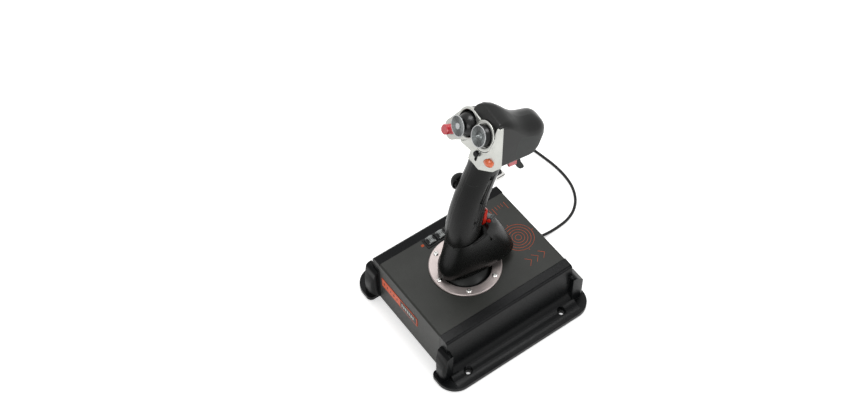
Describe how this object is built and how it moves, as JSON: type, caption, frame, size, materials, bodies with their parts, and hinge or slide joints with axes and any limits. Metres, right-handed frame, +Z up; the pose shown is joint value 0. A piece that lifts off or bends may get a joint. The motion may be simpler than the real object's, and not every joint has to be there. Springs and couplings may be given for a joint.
{
  "type": "flight joystick",
  "caption": "Right-hand flight joystick with a spring-centred stick, thumb hats, buttons, a trigger and a little-finger lever on a flanged base with a USB cord.",
  "frame": {"origin": "middle of the pattern of table screws, at table level", "axes": "+X to the user's right, +Y away from the user, +Z up"},
  "size_m": [0.2905, 0.2896, 0.2995],
  "materials": {
    "cover_coat": "fine matte dark grey coat on folded steel",
    "cast_coat": "satin black coat on zinc castings",
    "plate_steel": "dark zinc plated sheet",
    "screw_steel": "bright nickel plated",
    "foot_rubber": "matte",
    "ring_aluminium": "satin anodised",
    "label_ink": "printed film",
    "gimbal_alloy": "machined",
    "bronze": "plain bearing bronze",
    "spring_steel": "drawn wire",
    "sensor_housing": "moulded",
    "circuit_board": "solder resist",
    "wheel_frame_plastic": "moulded",
    "wheel_plastic": "ribbed moulding",
    "shaft_steel": "turned",
    "dome_plastic": "satin moulding",
    "rest_plastic": "satin gloss moulding",
    "grip_plastic": "satin gloss moulding",
    "grip_screw_steel": "blackened",
    "face_paint": "satin silver paint on a moulding",
    "nose_plastic": "fine matte moulding",
    "switch_plastic": "moulded",
    "hat_plastic": "satin moulding",
    "pivot_alloy": "machined",
    "disc_plastic": "satin",
    "red_clear": "tinted clear moulding",
    "orange_plastic": "glossy moulding",
    "slider_plastic": "moulded",
    "black_button_plastic": "moulded",
    "lever_plastic": "glossy moulding",
    "gland_rubber": "matte",
    "cord_jacket": "satin jacket",
    "tie_rubber": "matte",
    "usb_steel": "nickel plated"
  },
  "bodies": {
    "base": {"center_cover": "cover_coat", "left_side_casting": "cast_coat", "right_side_casting": "cast_coat", "bottom_plate": "plate_steel", "bottom_screws": "screw_steel", "rubber_feet": "foot_rubber", "trim_ring": "ring_aluminium", "ring_screws": "screw_steel", "ring_backing": "ring_aluminium", "front_label": "label_ink", "gimbal_frame": "gimbal_alloy", "frame_screws": "screw_steel", "pitch_bearings": "bronze", "pitch_springs": "spring_steel", "pitch_sensor": "sensor_housing", "main_board": "circuit_board", "board_standoffs": "bronze", "wheel_bracket": "wheel_frame_plastic", "wheel_axle": "screw_steel", "cord_gland": "gland_rubber", "usb_cord": "cord_jacket", "cord_coil": "cord_jacket", "cord_tie": "tie_rubber", "usb_plug": "cord_jacket", "usb_shell": "usb_steel"},
    "yoke": {"gimbal_yoke": "gimbal_alloy", "roll_bearings": "bronze", "roll_spring": "spring_steel", "roll_sensor": "sensor_housing"},
    "stick": {"stick_shaft": "shaft_steel", "dust_dome": "dome_plastic", "hand_rest": "rest_plastic", "grip_left": "grip_plastic", "grip_right": "grip_plastic", "grip_screws": "grip_screw_steel", "face_plate": "face_paint", "wing_back": "grip_plastic", "head_shell": "grip_plastic", "nose_cap": "nose_plastic", "head_board": "circuit_board", "head_switches": "switch_plastic", "trigger_pin": "screw_steel", "trigger_spring": "spring_steel", "pinky_pin": "screw_steel"},
    "left_hat_ring": {"left_hat_pivot": "pivot_alloy"},
    "left_thumb_hat": {"left_hat": "hat_plastic", "left_hat_disc": "disc_plastic"},
    "right_hat_ring": {"right_hat_pivot": "pivot_alloy"},
    "right_thumb_hat": {"right_hat": "hat_plastic"},
    "red_push": {"red_button": "red_clear"},
    "orange_push": {"orange_button": "orange_plastic"},
    "slider": {"mode_slider": "slider_plastic"},
    "trigger": {"trigger": "black_button_plastic"},
    "nose_push": {"nose_button": "red_clear"},
    "finger_push": {"finger_button": "black_button_plastic"},
    "knob": {"side_knob": "black_button_plastic"},
    "pinky": {"pinky_lever": "lever_plastic"},
    "pinky_push": {"pinky_button": "lever_plastic"},
    "front_wheel": {"front_trim_wheel": "wheel_plastic"},
    "rear_wheel": {"rear_trim_wheel": "wheel_plastic"}
  },
  "joints": [
    {"name": "stick_pitch", "type": "hinge", "parent": "base", "child": "yoke", "pos_m": [0, -0.0095, 0.036], "axis": [1, 0, 0], "range_deg": [-6.5, 4], "stiffness_Nm_per_rad": 8},
    {"name": "stick_roll", "type": "hinge", "parent": "yoke", "child": "stick", "pos_m": [0, -0.0095, 0.036], "axis": [0, 1, 0], "range_deg": [-7.5, 7.5], "stiffness_Nm_per_rad": 8},
    {"name": "left_hat_sideways", "type": "hinge", "parent": "stick", "child": "left_hat_ring", "pos_m": [-0.02114, 0.00849, 0.26914], "axis": [-0.0378, -0.3079, -0.9507], "range_deg": [-7, 7], "stiffness_Nm_per_rad": 0.15},
    {"name": "left_hat_up_down", "type": "hinge", "parent": "left_hat_ring", "child": "left_thumb_hat", "pos_m": [-0.02114, 0.00849, 0.26914], "axis": [0.9925, -0.1219, 0], "range_deg": [-7, 7], "stiffness_Nm_per_rad": 0.15},
    {"name": "right_hat_sideways", "type": "hinge", "parent": "stick", "child": "right_hat_ring", "pos_m": [0.00597, 0.00778, 0.27774], "axis": [-0.0512, -0.4171, -0.9074], "range_deg": [-7, 7], "stiffness_Nm_per_rad": 0.15},
    {"name": "right_hat_up_down", "type": "hinge", "parent": "right_hat_ring", "child": "right_thumb_hat", "pos_m": [0.00597, 0.00778, 0.27774], "axis": [0.9925, -0.1219, 0], "range_deg": [-7, 7], "stiffness_Nm_per_rad": 0.15},
    {"name": "red_press", "type": "slide", "parent": "stick", "child": "red_push", "axis": [0.1106, 0.9007, -0.4202], "range_m": [0, 0.0025], "stiffness_N_per_m": 400},
    {"name": "orange_press", "type": "slide", "parent": "stick", "child": "orange_push", "axis": [-0.4459, 0.8931, -0.0602], "range_m": [0, 0.0022], "stiffness_N_per_m": 400},
    {"name": "slider_slide", "type": "slide", "parent": "stick", "child": "slider", "axis": [-0.0043, -0.3694, -0.9293], "range_m": [0, 0.006]},
    {"name": "trigger_pull", "type": "hinge", "parent": "stick", "child": "trigger", "pos_m": [0.00451, 0.04672, 0.229], "axis": [0.9925, -0.1219, 0], "range_deg": [-14, 0], "stiffness_Nm_per_rad": 0.2},
    {"name": "nose_press", "type": "slide", "parent": "stick", "child": "nose_push", "axis": [0, 0, 1], "range_m": [0, 0.0015], "stiffness_N_per_m": 400},
    {"name": "finger_press", "type": "slide", "parent": "stick", "child": "finger_push", "axis": [0, -1, 0], "range_m": [0, 0.002], "stiffness_N_per_m": 400},
    {"name": "knob_turn", "type": "hinge", "parent": "stick", "child": "knob", "pos_m": [-0.0172, -0.0054, 0.1915], "axis": [1, 0, 0], "range_deg": [-150, 150]},
    {"name": "pinky_squeeze", "type": "hinge", "parent": "stick", "child": "pinky", "pos_m": [0, 0.0104, 0.118], "axis": [1, 0, 0], "range_deg": [0, 6], "stiffness_Nm_per_rad": 0.4},
    {"name": "pinky_press", "type": "slide", "parent": "stick", "child": "pinky_push", "axis": [-0.4199, 0.8098, -0.4099], "range_m": [0, 0.0012], "stiffness_N_per_m": 400},
    {"name": "front_wheel_turn", "type": "hinge", "parent": "base", "child": "front_wheel", "pos_m": [-0.048, -0.0206, 0.0638], "axis": [1, 0, 0], "range_deg": [-120, 120]},
    {"name": "rear_wheel_turn", "type": "hinge", "parent": "base", "child": "rear_wheel", "pos_m": [-0.048, -0.0072, 0.0638], "axis": [1, 0, 0], "range_deg": [-120, 120]}
  ]
}
